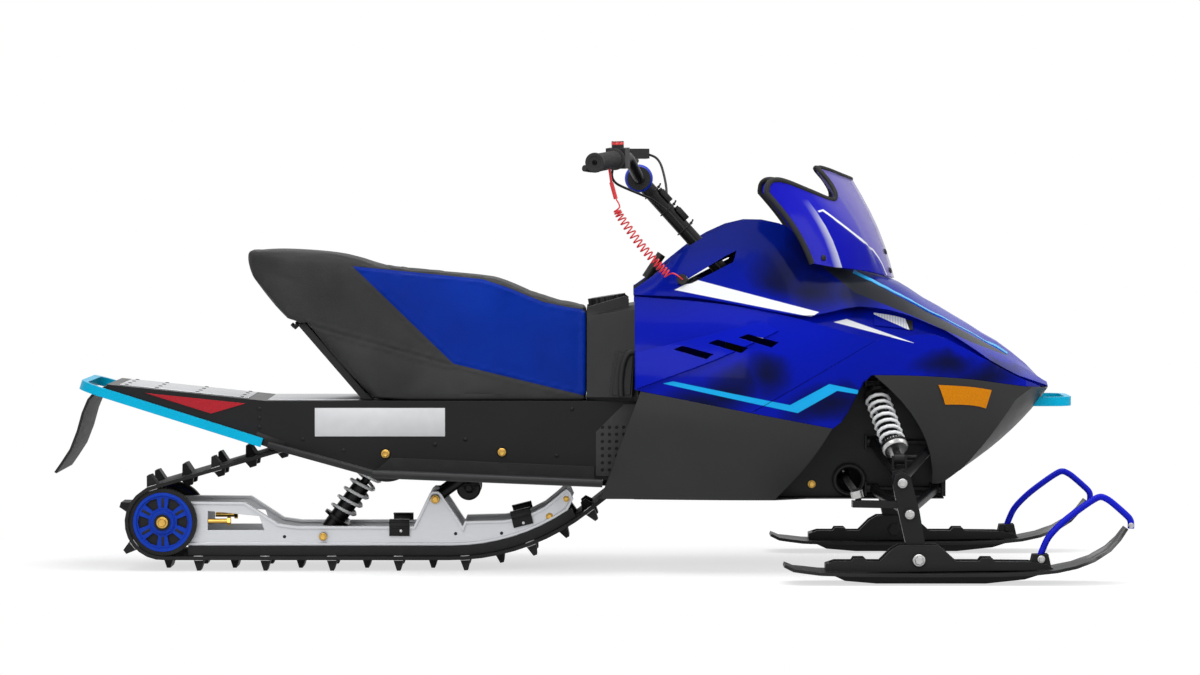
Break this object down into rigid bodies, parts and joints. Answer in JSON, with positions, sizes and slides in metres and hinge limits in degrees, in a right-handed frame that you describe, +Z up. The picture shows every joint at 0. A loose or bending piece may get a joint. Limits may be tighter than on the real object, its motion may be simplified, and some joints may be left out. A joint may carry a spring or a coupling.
{
  "type": "snowmobile",
  "caption": "Youth snowmobile: rubber track with lugs under a tunnel and seat, faceted hood with windshield, handlebar steering and a pair of sprung skis.",
  "frame": {"origin": "middle of the bounding box on the ground", "axes": "+X forward, +Y to the rider's left, +Z up"},
  "size_m": [2.1002, 0.927, 0.8486],
  "materials": {
    "black_metal": "satin black",
    "board": "textured black",
    "cyan_metal": "gloss cyan",
    "flap": "matte",
    "red_lens": "gloss",
    "amber_lens": "gloss",
    "vinyl": "grained",
    "dark_plastic": "fine grain",
    "blue_plastic": "gloss",
    "charcoal_plastic": "satin",
    "shield": "clear tint",
    "lens": "clear",
    "cast": "as cast",
    "belt": "matte",
    "rail": "satin",
    "slider": "smooth",
    "wheel_blue": "satin",
    "wheel_rubber": "matte",
    "steel": "plain",
    "spring": "powder coat",
    "cord_red": "smooth",
    "cable": "satin",
    "pad_blue": "foam",
    "grip_rubber": "ribbed",
    "ski_plastic": "satin",
    "loop_blue": "satin"
  },
  "bodies": {
    "chassis": {"tunnel": "black_metal", "running_boards": "board", "foot_plates": "board", "rear_bumper": "cyan_metal", "snow_flap": "flap", "red_reflectors": "red_lens", "amber_reflectors": "amber_lens", "seat": "vinyl", "seat_support": "dark_plastic", "console": "dark_plastic", "fuel_cap": "dark_plastic", "hood": "blue_plastic", "starter_handle": "dark_plastic", "kill_switch": "dark_plastic", "windshield": "shield", "headlights": "lens", "side_panels": "blue_plastic", "cheeks": "blue_plastic", "lower_panels": "charcoal_plastic", "nose": "charcoal_plastic", "belly_pan": "dark_plastic", "front_bumper": "cyan_metal", "bulkhead": "black_metal", "engine": "cast", "track": "belt", "rails": "rail", "sliders": "slider", "wheel_discs": "wheel_blue", "wheel_tyres": "wheel_rubber", "skid_shafts": "steel", "track_wheels": "dark_plastic", "front_arm": "black_metal", "shocks": "black_metal", "springs": "spring", "control_arms": "black_metal", "tether_cord": "cord_red"},
    "steering": {"handlebar": "black_metal", "bar_pad": "pad_blue", "grips": "grip_rubber", "throttle": "dark_plastic", "brake": "dark_plastic", "control_cables": "cable", "tether_clip": "cord_red"},
    "spindle_right": {"spindle_right": "black_metal"},
    "tie_rod_right": {"tie_rod_right": "steel"},
    "ski_right": {"ski_right": "ski_plastic", "ski_loop_right": "loop_blue"},
    "spindle_left": {"spindle_left": "black_metal"},
    "tie_rod_left": {"tie_rod_left": "steel"},
    "ski_left": {"ski_left": "ski_plastic", "ski_loop_left": "loop_blue"}
  },
  "joints": [
    {"name": "steering_turn", "type": "hinge", "parent": "chassis", "child": "steering", "pos_m": [0.102, 0, 0.775], "axis": [-0.669, 0, 0.7433], "range_deg": [-30, 30], "deforming": ["tether_cord"]},
    {"name": "spindle_right_turn", "type": "hinge", "parent": "chassis", "child": "spindle_right", "pos_m": [0.611, -0.365, 0.163], "axis": [-0.2272, 0, 0.9738], "range_deg": [-30, 30]},
    {"name": "tie_rod_right_swivel", "type": "hinge", "parent": "spindle_right", "child": "tie_rod_right", "pos_m": [0.523, -0.375, 0.154], "axis": [-0.2272, 0, 0.9738], "range_deg": [-30, 30]},
    {"name": "ski_right_rock", "type": "hinge", "parent": "spindle_right", "child": "ski_right", "pos_m": [0.635, -0.4, 0.046], "axis": [0, -1, 0], "range_deg": [-20, 25]},
    {"name": "spindle_left_turn", "type": "hinge", "parent": "chassis", "child": "spindle_left", "pos_m": [0.611, 0.365, 0.163], "axis": [-0.2272, 0, 0.9738], "range_deg": [-30, 30]},
    {"name": "tie_rod_left_swivel", "type": "hinge", "parent": "spindle_left", "child": "tie_rod_left", "pos_m": [0.523, 0.375, 0.154], "axis": [-0.2272, 0, 0.9738], "range_deg": [-30, 30]},
    {"name": "ski_left_rock", "type": "hinge", "parent": "spindle_left", "child": "ski_left", "pos_m": [0.635, 0.4, 0.046], "axis": [0, -1, 0], "range_deg": [-20, 25]}
  ],
  "couplings": [
    {"joint": "spindle_right_turn", "follows": "steering_turn", "ratio": 1},
    {"joint": "tie_rod_right_swivel", "follows": "steering_turn", "ratio": -1},
    {"joint": "spindle_left_turn", "follows": "steering_turn", "ratio": 1},
    {"joint": "tie_rod_left_swivel", "follows": "steering_turn", "ratio": -1}
  ]
}
